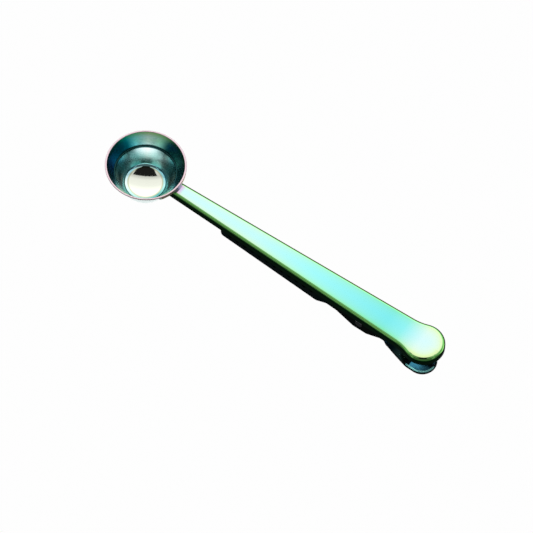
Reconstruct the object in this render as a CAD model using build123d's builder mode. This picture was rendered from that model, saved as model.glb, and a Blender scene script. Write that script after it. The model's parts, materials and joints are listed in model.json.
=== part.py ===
from build123d import *
import os
from math import cos, radians, sin, tan

# Coffee scoop with a bag clip in its handle, in millimetres.
# X runs along the handle from the bowl to the thumb end, Y is across, Z is up.
# It stands on the bowl's base and on the pad of the thumb lever, at Z = 0.

# ---- driving dimensions ----
overall_length = 176.5
sheet = 0.8
through = 40.0
near_enough = 0.3

# bowl
rim_radius = 18.0
rim_height = 17.1
rim_edge_radius = 0.25
wall_angle = 59.0
cup_angle = 65.5
base_corner_radius = 2.2
base_crown_radius = 34.0
base_flat_cut = 0.2
mark_ring_depth = 6.0
mark_ring_radius = 0.3

# handle: stations are measured along it from the bowl's axis,
# depths down from its top face
lean = 0.97
handle_start = 15.5
handle_start_half_width = 3.6
waist_station = 145.0
waist_half_width = 7.75
waist_blend = 20.0
thumb_centre = 149.0
thumb_radius = 9.5
handle_drop_at_bowl = 2.0
flange_height = 3.8
top_edge_radius = 1.6
tab_half_angle = 30.0
tab_height = 4.2

# clip arm
jaw_start = 43.0
jaw_end = 96.5
jaw_depth = 7.9
jaw_rear_depth = 10.0
jaw_tip_radius = 2.4
jaw_corner_radius = 2.4
closing_gap = 0.15
neck_start = 101.0
neck_half_width = 4.7
neck_wall_depth = 5.0
belly_start = 114.0
belly_depth = 11.2
belly_end = 133.8
lever_start = 131.6
lever_flare = 2.0
lever_half_width = 5.9
pad_start = 144.6
pad_radius = 6.75
lever_wall = 2.5
bend_radius = 4.0
lower_edge_radius = 1.2
shoulder_radius = 3.0
flare_radius = 2.0

# teeth in the jaw's two upper edges
tooth_count = 12
tooth_pitch = 4.07
tooth_gap = 2.6
tooth_depth = 1.3
first_tooth = 49.0

# pivot
pivot_station = 119.0
pivot_depth = 7.2
pin_radius = 1.0
pin_head_radius = 1.8
pin_head_height = 0.5
pin_head_round = 0.35
running_clearance = 0.05
side_clearance = 0.1
ear_radius = 3.3
bracket_start = 106.0
bracket_end = 131.2
bracket_front_depth = 7.4
bracket_low_start = 116.0
bracket_low_end = 123.0
bracket_depth = 11.8
bracket_rear_depth = 8.0
bracket_round = 3.0

# torsion spring: both legs point to the thumb end
wire_radius = 0.4
coil_radius = 2.1
coil_pitch = 1.0
half_turns = 9
leg_length = 12.0
upper_leg_angle = 15.0
lower_leg_angle = 3.0

# ---- values worked out from them ----
bowl_x = rim_radius - overall_length / 2
axis_height = rim_height - handle_drop_at_bowl - rim_radius * tan(radians(lean))
pad_depth = (axis_height + thumb_centre * sin(radians(lean))) / cos(radians(lean))
wall_run = 1 / tan(radians(wall_angle))
cup_run = 1 / tan(radians(cup_angle))
sharp_rim_radius = rim_radius + rim_edge_radius * (1 / tan(radians(wall_angle / 2)) - 1)
mark_height = rim_height - mark_ring_depth
mark_radius = sharp_rim_radius - sheet / sin(radians(wall_angle)) - mark_ring_depth * wall_run
bracket_half_width = neck_half_width + side_clearance + sheet
bowl_axis = Axis((bowl_x, 0, 0), (0, 0, 1))

# The handle and all that hangs on it lean up by a degree towards the thumb end.
# On these planes x is the station, and zero is the level of the handle's top face.
arm_origin = Vector(bowl_x, 0, axis_height)
along = Vector(cos(radians(lean)), 0, sin(radians(lean)))
upward = Vector(-sin(radians(lean)), 0, cos(radians(lean)))
plan_plane = Plane(origin=arm_origin, x_dir=along, z_dir=upward)
side_plane = Plane(origin=arm_origin, x_dir=along, z_dir=(0, -1, 0))
bowl_section = Plane(origin=(bowl_x, 0, 0), x_dir=(1, 0, 0), z_dir=(0, -1, 0))


def handle_half_width(station):
    """Half width of the tapering handle."""
    share = (station - handle_start) / (waist_station - handle_start)
    return handle_start_half_width + share * (waist_half_width - handle_start_half_width)


def cup_region(grow):
    """Half section of the cup's inside, or with grow = sheet of its outside."""
    floor = sheet - base_flat_cut - grow
    rim = sharp_rim_radius - (sheet - grow) / sin(radians(wall_angle))
    top = rim_height + 1.0
    spread = grow / (1 + cos(radians(cup_angle - wall_angle)))
    bend = mark_radius + spread * (sin(radians(wall_angle)) + sin(radians(cup_angle)))
    bend_level = mark_height - spread * (cos(radians(wall_angle)) + cos(radians(cup_angle)))
    foot = bend - (bend_level - floor) * cup_run
    crown = base_crown_radius + grow
    with BuildSketch() as region:
        with BuildLine():
            Polyline(
                (0, floor),
                (0, top),
                (rim + wall_run, top),
                (bend, bend_level),
                (foot, floor),
                close=True,
            )
        make_face()
        with Locations((0, floor + crown)):
            Circle(crown, mode=Mode.INTERSECT)
        corner = vertices().filter_by(lambda v: v.X > 1 and v.Y < rim_height / 2)
        fillet(corner, base_corner_radius + grow)
    return region.sketch


def handle_outline(inset):
    """Plan of the handle: tapering sides that flow into a round thumb end."""
    start_width = handle_half_width(handle_start) - inset
    waist_width = handle_half_width(waist_station) - inset
    with BuildSketch() as region:
        with BuildLine():
            Polyline(
                (handle_start, -start_width),
                (waist_station, -waist_width),
                (waist_station, waist_width),
                (handle_start, start_width),
                close=True,
            )
        make_face()
        with Locations((thumb_centre, 0)):
            Circle(thumb_radius - inset)
        waist = vertices().filter_by(lambda v: waist_station - 5 < v.X < thumb_centre - 1)
        fillet(waist, waist_blend + inset)
    return region.sketch


def arm_outline(inset):
    """Plan of the clip arm: jaw as wide as the handle, narrow neck, lever and round pad."""
    front = (jaw_start + inset, inset - handle_half_width(jaw_start))
    rear = (jaw_end, inset - handle_half_width(jaw_end))
    neck = (neck_start, inset - neck_half_width)
    flare = (lever_start, inset - neck_half_width)
    lever = (lever_start + lever_flare, inset - lever_half_width)
    pad = (thumb_centre, inset - pad_radius)
    with BuildSketch() as region:
        with BuildLine() as edge:
            Polyline(front, rear, neck, flare, lever)
            TangentArc(pad, lever, tangent=(-1, 0))
            mirror(edge.line, about=Plane.XZ)
            Line(front, (front[0], -front[1]))
            ThreePointArc(pad, (thumb_centre + pad_radius - inset, 0), (pad[0], -pad[1]))
        make_face()
        fillet(vertices().group_by(Axis.X)[0], jaw_corner_radius - inset)
        outward_bends = ((rear, shoulder_radius), (lever, flare_radius))
        inward_bends = ((neck, shoulder_radius), (flare, flare_radius))
        for point, radius in outward_bends:
            fillet(vertices().filter_by(lambda v: abs(v.X - point[0]) < near_enough), radius - inset)
        for point, radius in inward_bends:
            fillet(vertices().filter_by(lambda v: abs(v.X - point[0]) < near_enough), radius + inset)
    return region.sketch


def arm_floor_region():
    """Side view of all that lies above the clip arm's lower face."""
    level = tan(radians(lean))
    with BuildSketch() as region:
        with BuildLine():
            Polyline(
                (jaw_start, through),
                (jaw_start, -jaw_depth),
                (neck_start, -jaw_rear_depth),
                (belly_start, -belly_depth),
                (belly_end, -belly_depth),
                (pad_start, -pad_depth + (thumb_centre - pad_start) * level),
                (thumb_centre + thumb_radius, -pad_depth - thumb_radius * level),
                (thumb_centre + thumb_radius, through),
                close=True,
            )
        make_face()
        low = vertices().filter_by(lambda v: v.Y < 0 and v.X < thumb_centre)
        tip = low.sort_by(Axis.X)[:1]
        bends = low.sort_by(Axis.X)[1:]
        fillet(tip, jaw_tip_radius)
        bend_points = [(v.X, v.Y) for v in bends]
        for x, y in bend_points:
            bend = vertices().filter_by(lambda v: abs(v.X - x) + abs(v.Y - y) < near_enough)
            fillet(bend, bend_radius)
    return region.sketch


def arm_wall_region():
    """Side view of all that lies below the upper edges of the clip arm's walls."""
    edge = flange_height + closing_gap
    with BuildSketch() as region:
        with BuildLine():
            Polyline(
                (0, -through),
                (0, -edge),
                (jaw_end + 2, -edge),
                (neck_start, -neck_wall_depth),
                (pivot_station - ear_radius, -neck_wall_depth),
                (pivot_station, -pivot_depth),
                (pivot_station + ear_radius, -neck_wall_depth - 1),
                (belly_end, lever_wall - belly_depth),
                (pad_start, lever_wall - pad_depth),
                (thumb_centre + thumb_radius, lever_wall - pad_depth),
                (thumb_centre + thumb_radius, -through),
                close=True,
            )
        make_face()
        with Locations((pivot_station, -pivot_depth)):
            Circle(ear_radius)
    return region.sketch


def tooth_gaps():
    """Row of notches that leaves teeth in the jaw's upper edges."""
    edge = -flange_height - closing_gap
    with BuildSketch() as region:
        for number in range(tooth_count):
            centre = first_tooth + number * tooth_pitch
            with BuildLine():
                Polyline(
                    (centre - tooth_gap / 2, edge),
                    (centre, edge - tooth_depth),
                    (centre + tooth_gap / 2, edge),
                    (centre, edge + tooth_depth),
                    close=True,
                )
            make_face()
    return region.sketch


# ---- bowl ----
with BuildPart() as scoop_bowl:
    with BuildSketch(bowl_section):
        add(cup_region(sheet))
    revolve(axis=bowl_axis)
    with BuildSketch(bowl_section):
        add(cup_region(0))
    revolve(axis=bowl_axis, mode=Mode.SUBTRACT)
    split(bisect_by=Plane.XY.offset(rim_height), keep=Keep.BOTTOM)
    split(bisect_by=Plane.XY, keep=Keep.TOP)
    fillet(edges().group_by(Axis.Z)[-1], rim_edge_radius)
    with Locations((bowl_x, 0, mark_height)):
        Torus(mark_radius, mark_ring_radius, mode=Mode.SUBTRACT)

# ---- handle: folded channel, open below, with a curved tab welded to the bowl ----
with BuildPart() as handle:
    with BuildSketch(plan_plane):
        add(handle_outline(0))
    extrude(amount=-flange_height)
    top_face = faces().sort_by(Axis(arm_origin, upward))[-1]
    fillet(top_face.edges().sort_by(Axis.X)[1:], top_edge_radius)
    with BuildSketch(plan_plane.offset(-sheet)):
        add(handle_outline(sheet))
    extrude(amount=-through, mode=Mode.SUBTRACT)
    tab_top = rim_height - handle_drop_at_bowl
    tab_top_radius = sharp_rim_radius - handle_drop_at_bowl * wall_run
    tab_foot_radius = tab_top_radius - tab_height * wall_run
    tab_run = sheet / sin(radians(wall_angle))
    with BuildSketch(bowl_section):
        Polygon(
            (tab_top_radius, tab_top),
            (tab_top_radius + tab_run, tab_top),
            (tab_foot_radius + tab_run, tab_top - tab_height),
            (tab_foot_radius, tab_top - tab_height),
            align=None,
        )
    revolve(axis=bowl_axis, revolution_arc=tab_half_angle)
    mirror(about=Plane.XZ)
    with BuildSketch(bowl_section):
        add(cup_region(sheet))
    revolve(axis=bowl_axis, mode=Mode.SUBTRACT)

# ---- pivot bracket: small inverted channel welded under the handle ----
with BuildPart() as pivot_bracket:
    with BuildSketch(side_plane):
        with BuildLine():
            Polyline(
                (bracket_start, -sheet),
                (bracket_start, -bracket_front_depth),
                (bracket_low_start, -bracket_depth),
                (bracket_low_end, -bracket_depth),
                (bracket_end, -bracket_rear_depth),
                (bracket_end, -sheet),
                close=True,
            )
        make_face()
        fillet(vertices().filter_by(lambda v: v.Y < -sheet - 1), bracket_round)
    extrude(amount=bracket_half_width, both=True)
    with BuildSketch(side_plane):
        with Locations((pivot_station, -2 * sheet)):
            Rectangle(through, through, align=(Align.CENTER, Align.MAX))
    extrude(amount=bracket_half_width - sheet, both=True, mode=Mode.SUBTRACT)
    with BuildSketch(side_plane):
        with Locations((pivot_station, -pivot_depth)):
            Circle(pin_radius)
    extrude(amount=through, both=True, mode=Mode.SUBTRACT)

# ---- clip arm: one folded tray that is jaw, pivot ears and thumb lever ----
with BuildPart() as clip_arm:
    with BuildSketch(plan_plane):
        add(arm_outline(0))
    extrude(amount=-through)
    with BuildSketch(side_plane):
        add(arm_floor_region())
    extrude(amount=through, both=True, mode=Mode.INTERSECT)
    lower_faces = faces().filter_by(lambda f: f.normal_at().Z < -0.5)
    fillet(lower_faces.edges().filter_by(Axis.Y, reverse=True), lower_edge_radius)
    with BuildPart(mode=Mode.PRIVATE) as hollow:
        with BuildSketch(plan_plane):
            add(arm_outline(sheet))
        extrude(amount=-through)
        with BuildSketch(side_plane):
            add(arm_floor_region())
            offset(amount=-sheet)
        extrude(amount=through, both=True, mode=Mode.INTERSECT)
    add(hollow.part, mode=Mode.SUBTRACT)
    with BuildSketch(side_plane):
        add(arm_wall_region())
    extrude(amount=through, both=True, mode=Mode.INTERSECT)
    with BuildSketch(side_plane):
        add(tooth_gaps())
    extrude(amount=through, both=True, mode=Mode.SUBTRACT)
    with BuildSketch(side_plane):
        with Locations((pivot_station, -pivot_depth)):
            Circle(pin_radius + running_clearance)
    extrude(amount=through, both=True, mode=Mode.SUBTRACT)

# ---- pivot pin, riveted over at both ends ----
with BuildPart() as pivot_pin:
    with BuildSketch(side_plane):
        with Locations((pivot_station, -pivot_depth)):
            Circle(pin_radius)
    extrude(amount=bracket_half_width, both=True)
    with BuildSketch(side_plane.offset(bracket_half_width)):
        with Locations((pivot_station, -pivot_depth)):
            Circle(pin_head_radius)
    extrude(amount=pin_head_height)
    fillet(edges().group_by(Axis.Y)[0], pin_head_round)
    with BuildSketch(side_plane.offset(-bracket_half_width)):
        with Locations((pivot_station, -pivot_depth)):
            Circle(pin_head_radius)
    extrude(amount=-pin_head_height)
    fillet(edges().group_by(Axis.Y)[-1], pin_head_round)

# ---- torsion spring on the pin ----
upper_tilt = radians(upper_leg_angle)
coil_angle = 180 * half_turns - upper_leg_angle - lower_leg_angle
coil_height = coil_pitch * coil_angle / 360
coil_x = upward * cos(upper_tilt) - along * sin(upper_tilt)
pivot = arm_origin + along * pivot_station - upward * pivot_depth
coil_plane = Plane(origin=pivot + Vector(0, coil_height / 2, 0), x_dir=coil_x, z_dir=(0, -1, 0))
with BuildPart() as torsion_spring:
    with BuildLine() as wire:
        coil = Helix(coil_pitch, coil_height, coil_radius)
        Line(coil @ 0 - (coil % 0) * leg_length, coil @ 0)
        Line(coil @ 1, coil @ 1 + (coil % 1) * leg_length)
    with BuildSketch(Plane(origin=wire.wire() @ 0, z_dir=wire.wire() % 0)):
        Circle(wire_radius)
    sweep(path=wire.wire(), is_frenet=True)
torsion_spring.part = coil_plane.from_local_coords(torsion_spring.part)

# ---- hand over each piece in its own file ----
scoop_bowl.part.label = "scoop_bowl"
handle.part.label = "handle"
pivot_bracket.part.label = "pivot_bracket"
clip_arm.part.label = "clip_arm"
pivot_pin.part.label = "pivot_pin"
torsion_spring.part.label = "torsion_spring"

os.makedirs("parts", exist_ok=True)
export_step(scoop_bowl.part, "parts/scoop_bowl.step")
export_step(handle.part, "parts/handle.step")
export_step(pivot_bracket.part, "parts/pivot_bracket.step")
export_step(clip_arm.part, "parts/clip_arm.step")
export_step(pivot_pin.part, "parts/pivot_pin.step")
export_step(torsion_spring.part, "parts/torsion_spring.step")
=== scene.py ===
import json
from math import atan2, cos, degrees, pi, radians, sin, sqrt, tan

import bpy
from mathutils import Matrix, Vector

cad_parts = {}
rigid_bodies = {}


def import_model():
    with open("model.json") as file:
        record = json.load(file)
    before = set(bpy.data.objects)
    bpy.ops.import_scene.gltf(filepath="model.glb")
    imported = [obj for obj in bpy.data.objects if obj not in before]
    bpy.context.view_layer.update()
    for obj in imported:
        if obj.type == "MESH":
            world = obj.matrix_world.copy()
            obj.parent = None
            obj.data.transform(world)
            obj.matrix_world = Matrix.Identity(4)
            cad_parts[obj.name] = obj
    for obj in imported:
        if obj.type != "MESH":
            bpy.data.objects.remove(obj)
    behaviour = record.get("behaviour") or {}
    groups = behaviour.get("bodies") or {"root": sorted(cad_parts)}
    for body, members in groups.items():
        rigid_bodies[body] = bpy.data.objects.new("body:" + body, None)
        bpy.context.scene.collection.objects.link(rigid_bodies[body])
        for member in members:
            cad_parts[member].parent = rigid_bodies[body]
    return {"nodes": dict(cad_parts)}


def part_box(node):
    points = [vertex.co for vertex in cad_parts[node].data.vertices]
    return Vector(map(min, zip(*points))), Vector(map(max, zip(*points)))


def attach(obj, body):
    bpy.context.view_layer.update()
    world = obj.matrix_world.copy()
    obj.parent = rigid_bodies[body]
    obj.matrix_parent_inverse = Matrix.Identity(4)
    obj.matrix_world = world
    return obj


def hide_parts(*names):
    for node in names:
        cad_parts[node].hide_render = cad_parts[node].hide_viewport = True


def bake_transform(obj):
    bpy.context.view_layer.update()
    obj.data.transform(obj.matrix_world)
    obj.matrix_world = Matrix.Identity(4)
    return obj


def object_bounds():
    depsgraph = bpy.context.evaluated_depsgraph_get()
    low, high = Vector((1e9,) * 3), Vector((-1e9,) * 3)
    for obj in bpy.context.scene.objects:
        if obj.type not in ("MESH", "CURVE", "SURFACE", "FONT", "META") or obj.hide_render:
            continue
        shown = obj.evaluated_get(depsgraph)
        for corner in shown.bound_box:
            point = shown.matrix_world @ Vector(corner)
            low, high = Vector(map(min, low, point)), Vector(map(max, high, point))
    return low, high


# A coffee scoop with a bag clip in its handle. The sheet metal comes from the CAD frame and gets its
# iridescent coat here. The spring is rebuilt as one wire from its upper leg through the coil to its lower
# leg.

for leftover in list(bpy.data.objects):
    bpy.data.objects.remove(leftover)

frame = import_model()
cad_low, cad_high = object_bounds()

millimetre = 0.001
centimetre = 0.01

# ---- places read from the frame ----
bowl_low, bowl_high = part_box("scoop_bowl")
handle_low, handle_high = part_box("handle")
clip_low, clip_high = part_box("clip_arm")
bowl_centre = (bowl_low + bowl_high) / 2
rim_radius = (bowl_high.x - bowl_low.x) / 2
rim_height = bowl_high.z
thumb_radius = (handle_high.y - handle_low.y) / 2
thumb_x = handle_high.x - thumb_radius

# ---- the bowl's section, in millimetres ----
sheet = 0.8
wall_angle = radians(59.0)
cup_angle = radians(65.5)
rim_edge = 0.25
corner_round = 2.2
crown_round = 34.0
base_cut = 0.2
groove_drop = 6.0
groove_depth = 0.3
tint_shift = 0.8 * millimetre
sharp_rim = rim_radius / millimetre + rim_edge * (1 / tan(wall_angle / 2) - 1)
inner_rim = sharp_rim - sheet / sin(wall_angle)
groove_radius = inner_rim - groove_drop / tan(wall_angle)

# ---- the spring, in millimetres: both legs point to the thumb end ----
arm_lean = radians(0.97)
upper_leg_tilt = radians(15.0)
lower_leg_tilt = radians(3.0)
half_turns = 9
wire_radius = 0.4
coil_radius = 2.1
coil_pitch = 1.0
leg_length = 12.0

# ---- surface grain: how fine the lines are along x, y and z, per metre ----
sheet_grain = (300.0, 9000.0, 9000.0)
pin_grain = (4000.0, 300.0, 4000.0)
wire_grain = (2500.0, 2500.0, 2500.0)
smudge_scale = 90.0
bump_distance = 0.01 * millimetre

# ---- camera: az and el ----
camera_azimuth = radians(32.326)
camera_elevation = radians(59.02)
camera_roll = radians(4.083)
camera_distance = 2.503
view_width = 0.232698
shift_right = -3.696 * millimetre
shift_up = -3.910 * millimetre
sensor_width = 36.0
camera_side = Vector((sin(camera_azimuth), -cos(camera_azimuth), 0.0))
camera_back = camera_side * cos(camera_elevation) + Vector((0.0, 0.0, sin(camera_elevation)))
lateral_axis = Vector((cos(camera_azimuth), sin(camera_azimuth), 0.0))

# ---- studio: pitch is 0 at the far horizon, 90 overhead and 180 at the camera's side ----
paper_white = 0.99
studio_gain = 1.25
gap_pitch_low, gap_pitch_high = 72.5, 112.0
gap_level = 0.01
strip_pitch, strip_pitch_half = 133.0, 16.0
strip_lateral, strip_lateral_half = 0.64, 0.07
strip_level = 0.36
horizon_level = 0.02
floor_half = 3.0
floor_drop = 30.0 * millimetre
floor_level = 0.03
patch_lag = 0.325 * floor_drop
glow_depth = 15.3 * millimetre + 0.6 * floor_drop


# ---- node helpers ----
def linear(red, green, blue):
    """Scene-linear colour of an sRGB colour given from 0 to 255."""
    def channel(value):
        value /= 255
        return value / 12.92 if value <= 0.04045 else ((value + 0.055) / 1.055) ** 2.4
    return (channel(red), channel(green), channel(blue), 1.0)


def plain(level):
    """Grey of one scene-linear level."""
    return (level, level, level, 1.0)


class Nodes:
    """Short calls for building one node tree."""

    def __init__(self, tree):
        self.tree = tree

    def add(self, kind, **settings):
        made = self.tree.nodes.new(kind)
        for name, value in settings.items():
            setattr(made, name, value)
        return made

    def feed(self, socket, value):
        """Links value into socket if it is a socket itself, and otherwise sets it."""
        if isinstance(value, bpy.types.NodeSocket):
            self.tree.links.new(value, socket)
        else:
            socket.default_value = value

    def math(self, operation, first, second=0.0, clamp=False):
        made = self.add("ShaderNodeMath", operation=operation, use_clamp=clamp)
        self.feed(made.inputs[0], first)
        self.feed(made.inputs[1], second)
        return made.outputs[0]

    def smooth(self, value, low, high):
        """0 at low, 1 at high, eased in between."""
        made = self.add("ShaderNodeMapRange", interpolation_type="SMOOTHSTEP")
        self.feed(made.inputs["Value"], value)
        made.inputs["From Min"].default_value = low
        made.inputs["From Max"].default_value = high
        return made.outputs[0]

    def ramp(self, value, low, high, stops):
        """Colours spread from low to high; each stop is (place, colour)."""
        spread = self.add("ShaderNodeMapRange")
        self.feed(spread.inputs["Value"], value)
        spread.inputs["From Min"].default_value = low
        spread.inputs["From Max"].default_value = high
        made = self.add("ShaderNodeValToRGB")
        self.feed(made.inputs[0], spread.outputs[0])
        scale = made.color_ramp
        while len(scale.elements) < len(stops):
            scale.elements.new(0.5)
        for element, (place, colour) in zip(scale.elements, stops):
            element.position = (place - low) / (high - low)
            element.color = colour
        return made.outputs[0]

    def mix(self, share, first, second, blend="MIX"):
        made = self.add("ShaderNodeMix", data_type="RGBA", blend_type=blend)
        self.feed(made.inputs["Factor"], share)
        self.feed(made.inputs["A"], first)
        self.feed(made.inputs["B"], second)
        return made.outputs["Result"]

    def grey(self, value, low, high, stops):
        """A plain level spread from low to high; each stop is (place, level)."""
        return self.ramp(value, low, high, [(place, plain(level)) for place, level in stops])

    def dot(self, vector, axis):
        made = self.add("ShaderNodeVectorMath", operation="DOT_PRODUCT")
        self.feed(made.inputs[0], vector)
        made.inputs[1].default_value = axis
        return made.outputs["Value"]

    def near(self, value, middle, half):
        """1 where value is less than half away from middle, and 0 elsewhere."""
        away = self.math("ABSOLUTE", self.math("SUBTRACT", value, middle))
        return self.math("LESS_THAN", away, half)

    def split(self, vector):
        made = self.add("ShaderNodeSeparateXYZ")
        self.feed(made.inputs[0], vector)
        return made.outputs

    def noise(self, vector, scale, detail=2.0):
        made = self.add("ShaderNodeTexNoise")
        self.feed(made.inputs["Vector"], vector)
        made.inputs["Scale"].default_value = scale
        made.inputs["Detail"].default_value = detail
        return made.outputs["Fac"]

    def joined(self, first, second, third):
        made = self.add("ShaderNodeCombineXYZ")
        self.feed(made.inputs[0], first)
        self.feed(made.inputs[1], second)
        self.feed(made.inputs[2], third)
        return made.outputs[0]

    def length(self, first, second):
        made = self.add("ShaderNodeVectorMath", operation="LENGTH")
        self.feed(made.inputs[0], self.joined(first, second, 0.0))
        return made.outputs["Value"]

    def scaled(self, vector, factors):
        made = self.add("ShaderNodeVectorMath", operation="MULTIPLY")
        self.feed(made.inputs[0], vector)
        made.inputs[1].default_value = factors
        return made.outputs[0]


def metal(name):
    """A metallic material with its node helper, coordinates, object-space normal and shader."""
    material = bpy.data.materials.new(name)
    material.use_nodes = True
    nodes = Nodes(material.node_tree)
    shader = material.node_tree.nodes["Principled BSDF"]
    shader.inputs["Metallic"].default_value = 1.0
    place = nodes.add("ShaderNodeTexCoord")
    return material, nodes, shader, place.outputs["Object"], place.outputs["Normal"]


def relief(nodes, shader, height, strength):
    """Shallow bump from a height pattern."""
    bump = nodes.add("ShaderNodeBump")
    bump.inputs["Strength"].default_value = strength
    bump.inputs["Distance"].default_value = bump_distance
    nodes.feed(bump.inputs["Height"], height)
    nodes.feed(shader.inputs["Normal"], bump.outputs[0])


def wear(nodes, shader, place, grain, roughness, depth):
    """Fine polishing lines and faint smudges in the roughness, and the lines in the bump."""
    lines = nodes.noise(nodes.scaled(place, grain), 1.0, 3.0)
    smudge = nodes.noise(place, smudge_scale)
    spread = nodes.math("MULTIPLY_ADD", lines, roughness)
    spread.node.inputs[2].default_value = roughness * 0.5
    total = nodes.math("MULTIPLY", spread, nodes.math("ADD", smudge, 0.5))
    nodes.feed(shader.inputs["Roughness"], total)
    relief(nodes, shader, lines, depth)


# ---- materials ----
def handle_metal():
    """Aqua coat: pale by the bowl, deeper by the waist, pale again at the thumb end, greener near the
    edges; on the rounded edges and walls the colour by tilt is painted light and shade: green lines, a
    pale painted highlight line and dark green painted shade.
    """
    material, nodes, shader, place, normal = metal("coated_handle")
    x, y = nodes.split(place)[:2]
    along = nodes.ramp(x, handle_low.x, handle_high.x, [
        (handle_low.x, linear(255, 175, 215)),
        (bowl_high.x + 0.0010, linear(255, 196, 236)),
        (bowl_high.x + 0.0025, linear(244, 254, 253)),
        (thumb_x - 0.0888, linear(230, 253, 251)),
        (thumb_x - 0.0583, linear(190, 252, 251)),
        (thumb_x - 0.0188, linear(150, 238, 240)),
        (thumb_x - 0.0108, linear(169, 244, 244)),
        (thumb_x - 0.0013, linear(252, 254, 254)),
        (handle_high.x, linear(255, 254, 254)),
    ])
    tilt = nodes.math("MULTIPLY", nodes.math("ARCCOSINE", nodes.split(normal)[2]), 180 / pi)
    # Colour by tilt paints light and shade on the rounded edges and walls: green lines near the top, a
    # pale painted highlight line near 40 degrees, dark green painted shade down the walls, and paler again
    # underneath.
    edge_shade_and_highlight = nodes.ramp(tilt, 0.0, 180.0, [
        (3.0, linear(150, 240, 200)),
        (10.0, linear(170, 240, 160)),
        (19.0, linear(106, 174, 86)),
        (26.0, linear(104, 172, 84)),
        (33.0, linear(120, 200, 100)),
        (38.0, linear(160, 238, 135)),
        (46.0, linear(160, 238, 135)),
        (54.0, linear(90, 180, 90)),
        (62.0, linear(40, 130, 60)),
        (72.0, linear(30, 110, 60)),
        (90.0, linear(36, 110, 70)),
        (120.0, linear(110, 200, 180)),
        (180.0, linear(150, 215, 220)),
    ])
    # half the top's width is in centimetres, because a ramp holds only 0 to 1
    half_width = nodes.grey(x, handle_low.x, handle_high.x, [
        (handle_low.x, 0.36), (handle_low.x + 0.0030, 0.36), (thumb_x - 0.0170, 0.73),
        (thumb_x - 0.0100, 0.79), (thumb_x - 0.0040, 0.92), (thumb_x, 0.95), (handle_high.x, 0.95),
    ])
    beyond = nodes.math("MAXIMUM", nodes.math("SUBTRACT", x, thumb_x), 0.0)
    spread = nodes.length(beyond, y)
    share = nodes.math("DIVIDE", nodes.math("MULTIPLY", spread, 1 / centimetre), half_width)
    middle_edge, far_side_shift = 7.5, 0.6
    edge = nodes.math("MULTIPLY", nodes.math("SUBTRACT", 1.0, share), middle_edge)
    far_side = nodes.math("GREATER_THAN", y, 0.0)
    edge = nodes.math("ADD", edge, nodes.math("MULTIPLY", far_side, far_side_shift))
    greener = nodes.ramp(edge, 0.0, 10.0, [
        (1.2, (0.74, 0.92, 0.44, 1.0)),
        (2.0, (0.80, 1.00, 0.56, 1.0)),
        (2.7, (0.80, 1.00, 0.74, 1.0)),
        (4.0, (0.78, 1.00, 0.88, 1.0)),
        (5.6, (0.74, 1.00, 0.96, 1.0)),
        (middle_edge, (0.72, 1.00, 1.00, 1.0)),
    ])
    along = nodes.mix(1.0, along, greener, "MULTIPLY")
    flat = nodes.smooth(tilt, 12.0, 4.0)
    coat = nodes.mix(flat, edge_shade_and_highlight, along)
    nodes.feed(shader.inputs["Base Color"], coat)
    wear(nodes, shader, place, sheet_grain, 0.06, 0.1)
    return material


def clip_metal():
    """Teal coat of the clip arm painted nearly black as shade, with dark teal painted shade on its side
    walls, a bluer painted reflection on the thumb pad and a pale painted highlight on the pad's lip.
    """
    material, nodes, shader, place, normal = metal("coated_clip")
    x, _, z = nodes.split(place)
    upward = nodes.split(normal)[2]
    pad_start = thumb_x - 0.0128
    pad_full = thumb_x - 0.0088
    # Nearly black teal along the arm is painted shade; the bluer thumb pad is a painted reflection.
    body = nodes.ramp(x, clip_low.x, clip_high.x, [
        (clip_low.x, linear(50, 92, 88)),
        (thumb_x - 0.0288, linear(44, 78, 84)),
        (pad_start, linear(70, 104, 122)),
        (clip_high.x, linear(76, 112, 130)),
    ])
    # Faces turned sideways take a dark teal, painted shade.
    side_wall_shade = nodes.smooth(upward, 0.7, 0.2)
    wall = nodes.mix(side_wall_shade, body, linear(46, 84, 88))
    # A pale painted highlight on the raised, upward-facing lip of the thumb pad.
    raised = nodes.smooth(z, 1.7 * millimetre, 2.1 * millimetre)
    lip = nodes.math("MULTIPLY", raised, nodes.smooth(x, pad_start, pad_full))
    lip = nodes.math("MULTIPLY", lip, nodes.smooth(upward, 0.3, 0.8))
    wall = nodes.mix(lip, wall, linear(225, 240, 230))
    nodes.feed(shader.inputs["Base Color"], wall)
    wear(nodes, shader, place, sheet_grain, 0.1, 0.15)
    return material


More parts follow.
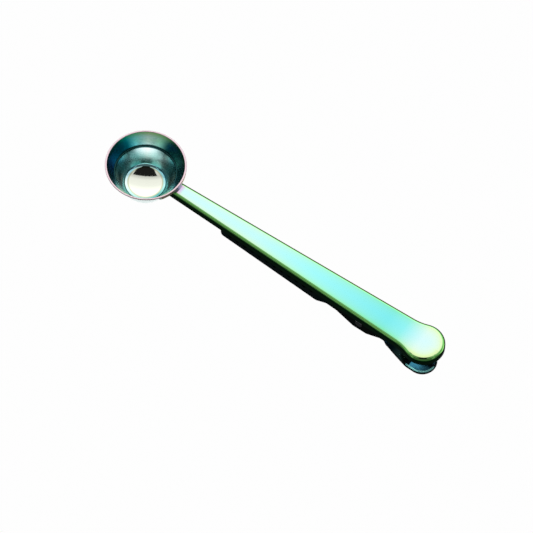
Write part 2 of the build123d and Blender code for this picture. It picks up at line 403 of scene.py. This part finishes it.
def bowl_metal():
    """Mirror base with a golden ring; brushed walls in blue, teal and green that are painted reflections
    and shade set by the turn around the bowl; a dark painted shade line in the groove; and a pinkish rim.
    """
    material, nodes, shader, place, normal = metal("coated_bowl")
    x, y, z = nodes.split(place)
    foot_outer, foot_inner = 11.2, 10.0
    ring_inner, ring_outer, ring_end = 7.2, 7.6, 8.3
    off_x = nodes.math("SUBTRACT", x, bowl_centre.x)
    off_y = nodes.math("SUBTRACT", y, bowl_centre.y)
    radius = nodes.math("MULTIPLY", nodes.length(off_x, off_y), 1 / millimetre)
    tint_x = nodes.math("ADD", off_x, camera_side.x * tint_shift)
    tint_y = nodes.math("ADD", off_y, camera_side.y * tint_shift)
    tint_radius = nodes.math("MULTIPLY", nodes.length(tint_x, tint_y), 1 / millimetre)
    flat_place = nodes.joined(off_x, off_y, 0.0)
    sideways = nodes.dot(flat_place, lateral_axis)
    inward = nodes.dot(flat_place, -camera_side)
    turn = nodes.math("MULTIPLY", nodes.math("ARCTAN2", sideways, inward), 180 / pi)
    # These three bands by turn around the bowl are painted reflections and shade: pale at the near and far
    # sides, dark, blue and teal on the left, green and dark on the right.
    upper_band_painted_reflection = nodes.ramp(turn, -180.0, 180.0, [
        (-180.0, linear(250, 252, 252)),
        (-140.0, linear(220, 240, 240)),
        (-110.0, linear(20, 85, 110)),
        (-85.0, linear(22, 120, 200)),
        (-60.0, linear(10, 175, 225)),
        (-36.0, linear(14, 213, 243)),
        (-18.0, linear(150, 245, 250)),
        (0.0, linear(214, 255, 252)),
        (20.0, linear(175, 240, 220)),
        (40.0, linear(95, 180, 160)),
        (65.0, linear(70, 150, 140)),
        (85.0, linear(70, 150, 150)),
        (110.0, linear(34, 90, 90)),
        (140.0, linear(220, 240, 240)),
        (180.0, linear(250, 252, 252)),
    ])
    lower_band_painted_reflection = nodes.ramp(turn, -180.0, 180.0, [
        (-180.0, linear(250, 252, 252)),
        (-140.0, linear(220, 240, 240)),
        (-110.0, linear(24, 80, 80)),
        (-84.0, linear(34, 110, 120)),
        (-62.0, linear(140, 225, 240)),
        (-35.0, linear(225, 252, 255)),
        (0.0, linear(252, 255, 255)),
        (32.0, linear(225, 250, 250)),
        (58.0, linear(150, 215, 212)),
        (76.0, linear(50, 120, 124)),
        (110.0, linear(24, 70, 70)),
        (140.0, linear(220, 240, 240)),
        (180.0, linear(250, 252, 252)),
    ])
    foot_band_painted_reflection = nodes.ramp(turn, -180.0, 180.0, [
        (-180.0, linear(150, 200, 190)),
        (-130.0, linear(190, 235, 228)),
        (-90.0, linear(238, 255, 252)),
        (-50.0, linear(170, 235, 248)),
        (0.0, linear(180, 240, 240)),
        (50.0, linear(150, 225, 235)),
        (90.0, linear(190, 240, 236)),
        (130.0, linear(90, 170, 165)),
        (180.0, linear(150, 200, 190)),
    ])
    foot_share = nodes.smooth(radius, foot_outer, foot_inner)
    top_share = nodes.smooth(radius, groove_radius - 0.1, groove_radius + 0.3)
    wall = nodes.mix(foot_share, lower_band_painted_reflection, foot_band_painted_reflection)
    wall = nodes.mix(top_share, wall, upper_band_painted_reflection)
    wall = nodes.mix(nodes.smooth(radius, 15.8, 17.1), wall, linear(225, 236, 170), "MULTIPLY")
    # A dark painted shade line along the groove.
    groove_near = nodes.math("ABSOLUTE", nodes.math("SUBTRACT", radius, groove_radius))
    wall = nodes.mix(nodes.smooth(groove_near, 0.45, 0.3), wall, linear(40, 84, 84))
    ring = nodes.smooth(tint_radius, ring_inner, ring_outer)
    base = nodes.mix(ring, linear(240, 243, 229), linear(200, 204, 170))
    coat = nodes.mix(nodes.smooth(tint_radius, ring_outer, ring_end), base, wall)
    lip = nodes.smooth(z, rim_height - 0.16 * millimetre, rim_height - 0.05 * millimetre)
    coat = nodes.mix(lip, coat, linear(240, 214, 222))
    outside = nodes.smooth(nodes.split(normal)[2], -0.1, -0.3)
    coat = nodes.mix(outside, coat, linear(200, 228, 224))
    nodes.feed(shader.inputs["Base Color"], coat)
    streaks = nodes.noise(nodes.joined(turn, nodes.math("MULTIPLY", z, 60.0), 0.0), 0.55, 3.0)
    smudge = nodes.noise(place, smudge_scale)
    brushed = nodes.smooth(radius, 9.2, 10.5)
    level = nodes.grey(brushed, 0.0, 1.0, [(0.0, 0.05), (1.0, 0.17)])
    uneven = nodes.math("ADD", nodes.math("MULTIPLY", streaks, 0.7), nodes.math("MULTIPLY", smudge, 0.5))
    nodes.feed(shader.inputs["Roughness"], nodes.math("MULTIPLY", level, nodes.math("ADD", uneven, 0.4)))
    relief(nodes, shader, nodes.math("MULTIPLY", streaks, brushed), 0.15)
    return material


def bracket_metal():
    """Coat of the welded bracket under the handle, painted dark teal as shade and mottled at random."""
    material, nodes, shader, place, _ = metal("coated_dark")
    # The dark teal is painted shade under the handle; the noise mottles it at random.
    tint = nodes.mix(nodes.noise(place, 260.0), linear(30, 46, 44), linear(46, 70, 66))
    nodes.feed(shader.inputs["Base Color"], tint)
    wear(nodes, shader, place, sheet_grain, 0.16, 0.2)
    return material


def steel_metal(name, dark, light, grain, roughness):
    """Plain bright steel with drawing or turning lines."""
    material, nodes, shader, place, _ = metal(name)
    tint = nodes.mix(nodes.noise(nodes.scaled(place, grain), 1.0), dark, light)
    nodes.feed(shader.inputs["Base Color"], tint)
    wear(nodes, shader, place, grain, roughness, 0.3)
    return material


def dress(node, material):
    """The CAD node's slots take this material."""
    slots = frame["nodes"][node].data.materials
    for index in range(len(slots)):
        slots[index] = material


dress("handle", handle_metal())
dress("clip_arm", clip_metal())
dress("pivot_bracket", bracket_metal())
dress("pivot_pin", steel_metal("pin_steel", linear(150, 152, 156), linear(205, 206, 208), pin_grain, 0.2))


# ---- pieces rebuilt finer ----
def arc(centre, radius, first, last, steps):
    """Points of an arc between two angles in degrees."""
    return [
        (centre[0] + radius * cos(radians(first + (last - first) * k / steps)),
         centre[1] + radius * sin(radians(first + (last - first) * k / steps)))
        for k in range(steps + 1)
    ]


def bend_point(grow):
    """Where the flared band meets the steeper cup, inside or, with grow = sheet, outside."""
    spread = grow / (1 + cos(cup_angle - wall_angle))
    return (
        groove_radius + spread * (sin(wall_angle) + sin(cup_angle)),
        rim_height / millimetre - groove_drop - spread * (cos(wall_angle) + cos(cup_angle)),
    )


def cup_curve(grow, steps):
    """Floor crown and corner of the cup, from the axis to the foot of its wall."""
    crown = crown_round + grow
    corner = corner_round + grow
    crown_z = sheet - base_cut + crown_round
    bend = bend_point(grow)
    run, rise = cos(cup_angle), sin(cup_angle)
    line_start = bend[0] - corner * rise
    line_level = bend[1] + corner * run
    reach = crown - corner
    half = line_start * run + (line_level - crown_z) * rise
    rest = line_start ** 2 + (line_level - crown_z) ** 2 - reach ** 2
    shift = -half - sqrt(half ** 2 - rest)
    centre = (line_start + shift * run, line_level + shift * rise)
    touch = degrees(atan2(centre[1] - crown_z, centre[0]))
    floor = arc((0.0, crown_z), crown, -90.0, touch, steps)
    return floor[:-1] + arc(centre, corner, touch, degrees(cup_angle) - 90.0, steps)


def bowl_section():
    """Closed half section of the drawn bowl, listed up the inside and down the outside."""
    rim = rim_height / millimetre
    slope = degrees(wall_angle)
    inner_edge = (inner_rim + rim_edge / tan((pi - wall_angle) / 2), rim - rim_edge)
    outer_edge = (sharp_rim - rim_edge / tan(wall_angle / 2), rim - rim_edge)
    groove = arc(bend_point(0.0), groove_depth, degrees(cup_angle) + 180.0, slope + 360.0, 10)
    lip_inner = arc(inner_edge, rim_edge, slope + 90.0, 90.0, 8)
    lip_outer = arc(outer_edge, rim_edge, 90.0, slope - 90.0, 14)
    outside = [point for point in cup_curve(sheet, 24) if point[1] > 0.0]
    flat = sqrt((crown_round + sheet) ** 2 - (sheet - base_cut + crown_round) ** 2)
    inside = cup_curve(0.0, 24) + groove + lip_inner
    return inside + lip_outer + [bend_point(sheet)] + outside[::-1] + [(flat, 0.0), (0.0, 0.0)]


def wire_path(pivot):
    """The spring's centre line from its upper leg through the coil to its lower leg."""
    full_turn = half_turns * pi - upper_leg_tilt - lower_leg_tilt
    steps = 300
    radius, leg = coil_radius * millimetre, leg_length * millimetre
    rise = coil_pitch * millimetre / (2 * pi)
    height = rise * full_turn
    along = Vector((cos(arm_lean), 0.0, sin(arm_lean)))
    upward = Vector((-sin(arm_lean), 0.0, cos(arm_lean)))
    across = Vector((0.0, -1.0, 0.0))
    first = upward * cos(upper_leg_tilt) - along * sin(upper_leg_tilt)
    second = across.cross(first)

    def place(angle):
        ring = (first * cos(angle) + second * sin(angle)) * radius
        return pivot + ring + across * (rise * angle - height / 2)

    def heading(angle):
        ring = (second * cos(angle) - first * sin(angle)) * radius
        return (ring + across * rise).normalized()

    turns = [full_turn * k / steps for k in range(steps + 1)]
    points = [place(0.0) - heading(0.0) * leg] + [place(angle) for angle in turns]
    return points + [place(full_turn) + heading(full_turn) * leg], height


def placed(name, data):
    """A new object in the scene that holds this mesh or camera."""
    made = bpy.data.objects.new(name, data)
    bpy.context.collection.objects.link(made)
    return made


def smooth_object(name, mesh, crease):
    """Object of a mesh that is shaded smooth up to a crease angle in degrees."""
    mesh.shade_smooth()
    mesh.set_sharp_from_angle(angle=radians(crease))
    return placed(name, mesh)


def tube(name, points, radius, around):
    """Round wire along a line of points, with flat ends."""
    mesh = bpy.data.meshes.new(name)
    spots, rings = [], []
    side = (points[1] - points[0]).cross(Vector((0.0, 1.0, 0.0))).normalized()
    for index, point in enumerate(points):
        ahead = points[min(index + 1, len(points) - 1)] - points[max(index - 1, 0)]
        ahead.normalize()
        side = (side - ahead * side.dot(ahead)).normalized()
        other = ahead.cross(side)
        rings.append(list(range(len(spots), len(spots) + around)))
        for k in range(around):
            angle = 2 * pi * k / around
            spots.append(point + (side * cos(angle) + other * sin(angle)) * radius)
    faces = [tuple(rings[0][::-1]), tuple(rings[-1])]
    for near, far in zip(rings, rings[1:]):
        for k in range(around):
            faces.append((near[k], near[(k + 1) % around], far[(k + 1) % around], far[k]))
    mesh.from_pydata(spots, [], faces)
    return smooth_object(name, mesh, 50.0)


def turned(name, section, centre, around):
    """Solid of revolution about the upright axis through centre, from a half section in millimetres."""
    mesh = bpy.data.meshes.new(name)
    points, rings = [], []
    for radius, level in section:
        if radius < 1e-6:
            rings.append([len(points)] * around)
            points.append((centre.x, centre.y, level * millimetre))
            continue
        rings.append(list(range(len(points), len(points) + around)))
        for k in range(around):
            angle = 2 * pi * k / around
            points.append((
                centre.x + radius * cos(angle) * millimetre,
                centre.y + radius * sin(angle) * millimetre,
                level * millimetre,
            ))
    faces = []
    for lower, upper in zip(rings, rings[1:]):
        for k in range(around):
            corners = (lower[k], lower[(k + 1) % around], upper[(k + 1) % around], upper[k])
            face = tuple(dict.fromkeys(corners))
            if len(face) > 2:
                faces.append(face)
    mesh.from_pydata(points, [], faces)
    mesh.validate()
    return smooth_object(name, mesh, 40.0)


bowl_coat = bowl_metal()
dress("scoop_bowl", bowl_coat)
fine_bowl = turned("fine_bowl", bowl_section(), bowl_centre, 288)
fine_bowl.data.materials.append(bowl_coat)
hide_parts("scoop_bowl")
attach(fine_bowl, "scoop")

spring_steel = steel_metal("spring_steel", linear(120, 121, 124), linear(176, 177, 180), wire_grain, 0.25)
dress("torsion_spring", spring_steel)
pin_low, pin_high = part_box("pivot_pin")
pivot = Vector(((pin_low.x + pin_high.x) / 2, 0.0, (pin_low.z + pin_high.z) / 2))
wire, coil_height = wire_path(pivot)
spring = tube("spring_wire", wire, wire_radius * millimetre, 14)
spring.data.materials.append(spring_steel)
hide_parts("torsion_spring")
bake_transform(spring)


# ---- studio ----
def studio_world():
    """A far white panel, two lit side panels with a dark gap overhead, and a dark horizon."""
    world = bpy.data.worlds.new("studio")
    bpy.context.scene.world = world
    world.use_nodes = True
    nodes = Nodes(world.node_tree)
    background = world.node_tree.nodes["Background"]
    place = nodes.add("ShaderNodeTexCoord")
    unit = nodes.add("ShaderNodeVectorMath", operation="NORMALIZE")
    nodes.feed(unit.inputs[0], place.outputs["Generated"])
    direction = unit.outputs[0]
    height = nodes.split(direction)[2]
    away = nodes.dot(direction, -camera_side)
    lateral = nodes.math("ABSOLUTE", nodes.dot(direction, lateral_axis))
    pitch = nodes.math("MULTIPLY", nodes.math("ARCTAN2", height, away), 180 / pi)
    dome = nodes.grey(pitch, 0.0, 180.0, [
        (0.0, 0.02), (10.0, 0.1), (22.0, 1.05), (47.0, 1.05), (56.0, 0.82), (66.0, 0.76), (72.0, 0.5),
        (80.0, 0.62), (104.0, 0.62), (111.0, 0.1), (169.0, 0.1), (172.0, 0.3), (177.0, 0.3), (180.0, 0.02),
    ])
    gap_half_width = nodes.grey(pitch, 60.0, 180.0, [
        (60.0, 0.28), (73.0, 0.28), (93.0, 0.15), (104.0, 0.15), (180.0, 0.15),
    ])
    inside = nodes.math("LESS_THAN", nodes.math("SUBTRACT", lateral, gap_half_width), 0.0)
    gap_start = nodes.math("GREATER_THAN", pitch, gap_pitch_low)
    gap_end = nodes.math("LESS_THAN", pitch, gap_pitch_high)
    gap = nodes.math("MULTIPLY", inside, nodes.math("MULTIPLY", gap_start, gap_end))
    light = nodes.mix(gap, dome, plain(gap_level))
    strip_across = nodes.near(lateral, strip_lateral, strip_lateral_half)
    strip_along = nodes.near(pitch, strip_pitch, strip_pitch_half)
    light = nodes.mix(nodes.math("MULTIPLY", strip_across, strip_along), light, plain(strip_level))
    above_horizon = nodes.smooth(height, 0.0, 0.03)
    lit = nodes.mix(above_horizon, plain(horizon_level), light)
    bright = nodes.mix(1.0, lit, plain(studio_gain), "MULTIPLY")
    path = nodes.add("ShaderNodeLightPath")
    seen = nodes.mix(path.outputs["Is Camera Ray"], bright, plain(paper_white))
    nodes.feed(background.inputs["Color"], seen)
    nodes.feed(background.inputs["Strength"], 1.0)


def pale_floor():
    """A wide plain floor, white to the eye and dim in reflections, low enough for the open clip."""
    signs = [(-1, -1), (1, -1), (1, 1), (-1, 1)]
    corners = [(floor_half * right, floor_half * far, -floor_drop) for right, far in signs]
    mesh = bpy.data.meshes.new("floor")
    mesh.from_pydata(corners, [], [(0, 1, 2, 3)])
    floor = placed("floor", mesh)
    material = bpy.data.materials.new("floor_paper")
    material.use_nodes = True
    nodes = Nodes(material.node_tree)
    tree = material.node_tree
    output = tree.nodes["Material Output"]
    tree.nodes.remove(tree.nodes["Principled BSDF"])
    glow = nodes.add("ShaderNodeEmission")
    glow.inputs["Color"].default_value = plain(paper_white)
    dim = nodes.add("ShaderNodeEmission")
    place = nodes.split(nodes.add("ShaderNodeTexCoord").outputs["Object"])
    under_bowl = Vector((bowl_centre.x, bowl_centre.y, 0.0)) - camera_side * patch_lag
    off_x = nodes.math("SUBTRACT", place[0], under_bowl.x)
    off_y = nodes.math("SUBTRACT", place[1], under_bowl.y)
    patch = nodes.smooth(nodes.length(off_x, off_y), rim_radius * 1.1, rim_radius * 0.8)
    off_x = nodes.math("SUBTRACT", place[0], thumb_x)
    flat_place = nodes.joined(off_x, place[1], 0.0)
    inward = nodes.dot(flat_place, -camera_side)
    sideways = nodes.math("ABSOLUTE", nodes.dot(flat_place, lateral_axis))
    depth = nodes.math("ABSOLUTE", nodes.math("SUBTRACT", inward, glow_depth))
    wide_across = nodes.smooth(sideways, 0.0100, 0.0080)
    wide_glow = nodes.math("MULTIPLY", wide_across, nodes.smooth(depth, 0.0080, 0.0060))
    small_across = nodes.smooth(sideways, 0.0034, 0.0028)
    small_glow = nodes.math("MULTIPLY", small_across, nodes.smooth(depth, 0.0024, 0.0018))
    wide_light = nodes.math("MULTIPLY", wide_glow, 0.35)
    glow_level = nodes.math("ADD", wide_light, nodes.math("MULTIPLY", small_glow, 2.6))
    strength = nodes.math("ADD", nodes.math("MAXIMUM", patch, glow_level), floor_level)
    nodes.feed(dim.inputs["Strength"], strength)
    path = nodes.add("ShaderNodeLightPath")
    choice = nodes.add("ShaderNodeMixShader")
    nodes.feed(choice.inputs[0], path.outputs["Is Camera Ray"])
    nodes.feed(choice.inputs[1], dim.outputs[0])
    nodes.feed(choice.inputs[2], glow.outputs[0])
    below = nodes.add("ShaderNodeMixShader")
    nodes.feed(below.inputs[0], nodes.add("ShaderNodeNewGeometry").outputs["Backfacing"])
    nodes.feed(below.inputs[1], choice.outputs[0])
    nodes.feed(below.inputs[2], nodes.add("ShaderNodeBsdfTransparent").outputs[0])
    nodes.feed(output.inputs["Surface"], below.outputs[0])
    mesh.materials.append(material)


def photo_camera():
    """Long lens from above the near side, rolled a little."""
    camera = bpy.data.cameras.new("camera")
    camera.sensor_width = sensor_width
    camera.lens = sensor_width * camera_distance / view_width
    camera.clip_end = 10.0
    stand = placed("camera", camera)
    upright = Matrix((lateral_axis, camera_back.cross(lateral_axis), camera_back)).transposed()
    turn = upright @ Matrix.Rotation(camera_roll, 3, "Z")
    centre = (cad_low + cad_high) / 2
    aim = centre + turn @ Vector((shift_right, shift_up, 0.0))
    stand.matrix_world = Matrix.Translation(aim + camera_back * camera_distance) @ turn.to_4x4()
    bpy.context.scene.camera = stand


photo_camera()
studio_world()
pale_floor()

scene = bpy.context.scene
scene.view_settings.view_transform = "Standard"
scene.cycles.max_bounces = 24
scene.cycles.glossy_bounces = 24
